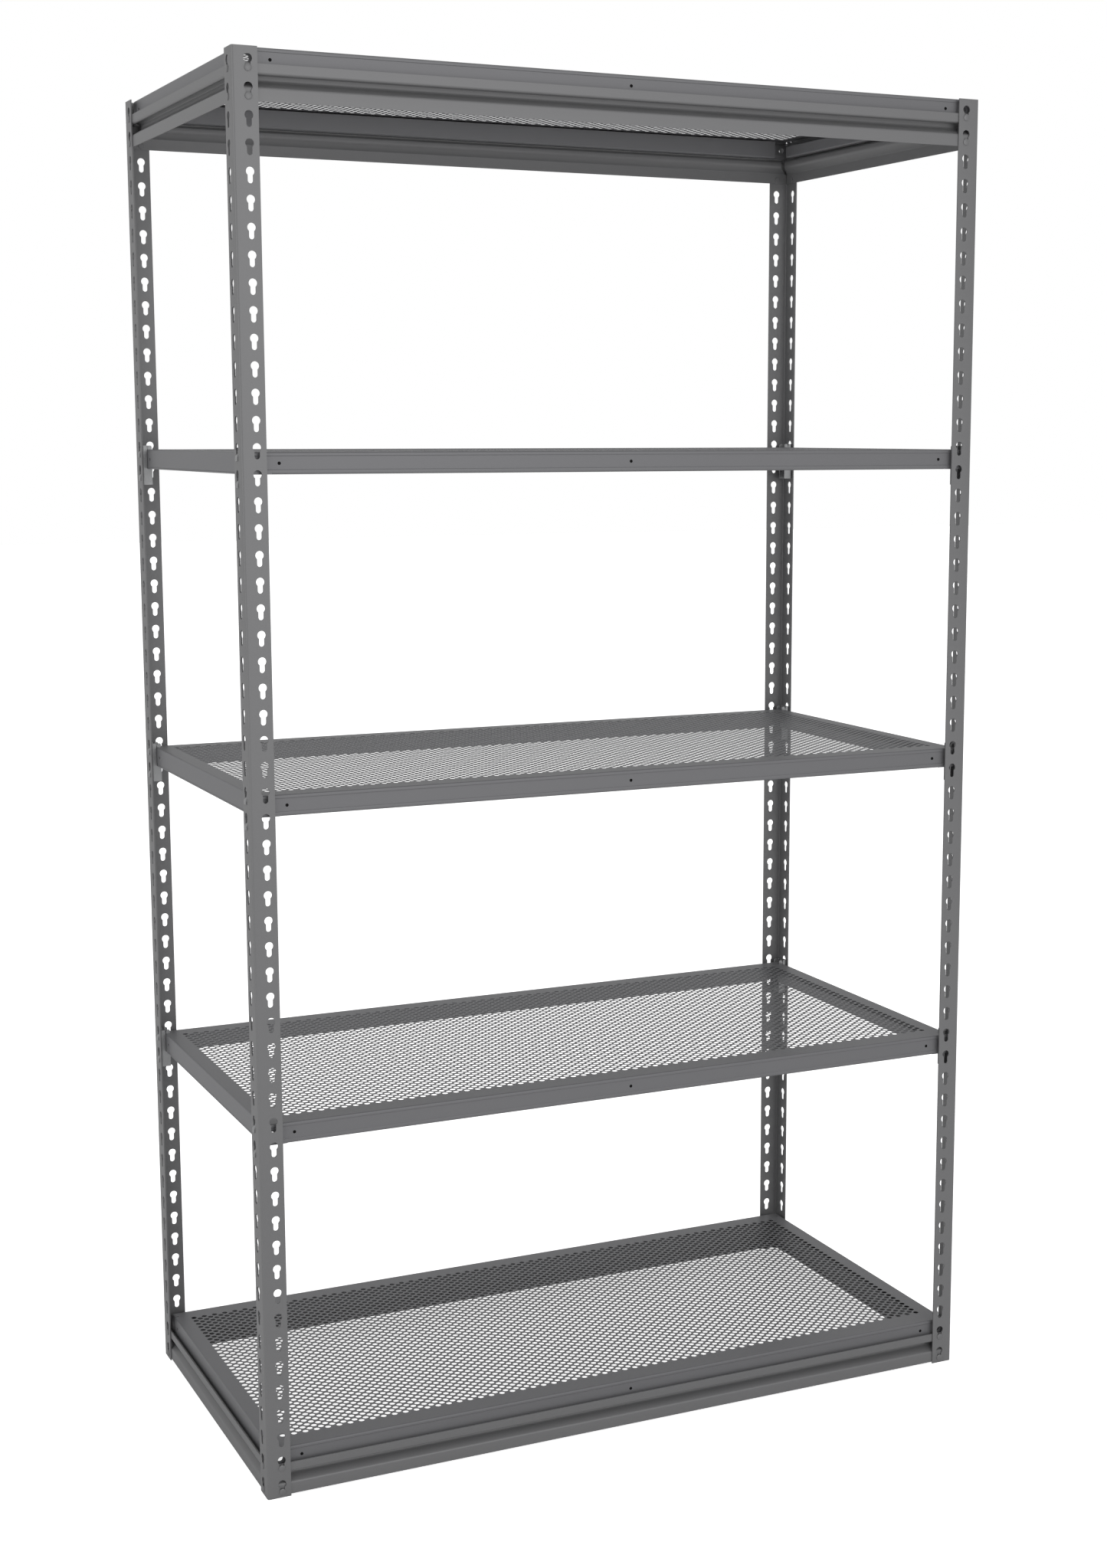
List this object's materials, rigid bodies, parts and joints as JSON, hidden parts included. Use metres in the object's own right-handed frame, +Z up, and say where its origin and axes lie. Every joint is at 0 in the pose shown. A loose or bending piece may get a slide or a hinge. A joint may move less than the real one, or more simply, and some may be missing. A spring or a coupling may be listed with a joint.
{
  "type": "boltless steel shelving",
  "caption": "Freestanding grey steel shelving: keyholed angle posts, riveted beam frames at top and bottom, and perforated deck pans carried on clips.",
  "frame": {"origin": "on the floor at the centre of the footprint", "axes": "+Z up, front faces -Y, +X to the right when seen from the front"},
  "size_m": [1.2364, 0.6258, 2.1336],
  "materials": {
    "powder_coat_frame": "medium grey powder coat, satin",
    "powder_coat_deck": "medium grey powder coat, satin",
    "zinc_clip": "dull zinc plate"
  },
  "bodies": {
    "frame": {"post_front_left": "powder_coat_frame", "post_front_right": "powder_coat_frame", "post_back_left": "powder_coat_frame", "post_back_right": "powder_coat_frame", "top_beam_front": "powder_coat_frame", "top_beam_back": "powder_coat_frame", "top_beam_left": "powder_coat_frame", "top_beam_right": "powder_coat_frame", "bottom_beam_front": "powder_coat_frame", "bottom_beam_back": "powder_coat_frame", "bottom_beam_left": "powder_coat_frame", "bottom_beam_right": "powder_coat_frame", "top_frame_rivets": "powder_coat_frame", "bottom_frame_rivets": "powder_coat_frame", "clip_2_front_left": "zinc_clip", "clip_2_front_right": "zinc_clip", "clip_2_back_left": "zinc_clip", "clip_2_back_right": "zinc_clip", "clip_3_front_left": "zinc_clip", "clip_3_front_right": "zinc_clip", "clip_3_back_left": "zinc_clip", "clip_3_back_right": "zinc_clip", "clip_4_front_left": "zinc_clip", "clip_4_front_right": "zinc_clip", "clip_4_back_left": "zinc_clip", "clip_4_back_right": "zinc_clip"},
    "shelf_top": {"shelf_top": "powder_coat_deck"},
    "shelf_2": {"shelf_2": "powder_coat_deck"},
    "shelf_3": {"shelf_3": "powder_coat_deck"},
    "shelf_4": {"shelf_4": "powder_coat_deck"},
    "shelf_bottom": {"shelf_bottom": "powder_coat_deck"}
  },
  "joints": [
    {"name": "shelf_top_lift", "type": "slide", "parent": "frame", "child": "shelf_top", "axis": [0, 0, 1], "range_m": [0, 0.045]},
    {"name": "shelf_2_lift", "type": "slide", "parent": "frame", "child": "shelf_2", "axis": [0, 0, 1], "range_m": [0, 0.045]},
    {"name": "shelf_3_lift", "type": "slide", "parent": "frame", "child": "shelf_3", "axis": [0, 0, 1], "range_m": [0, 0.045]},
    {"name": "shelf_4_lift", "type": "slide", "parent": "frame", "child": "shelf_4", "axis": [0, 0, 1], "range_m": [0, 0.045]},
    {"name": "shelf_bottom_lift", "type": "slide", "parent": "frame", "child": "shelf_bottom", "axis": [0, 0, 1], "range_m": [0, 0.045]}
  ]
}
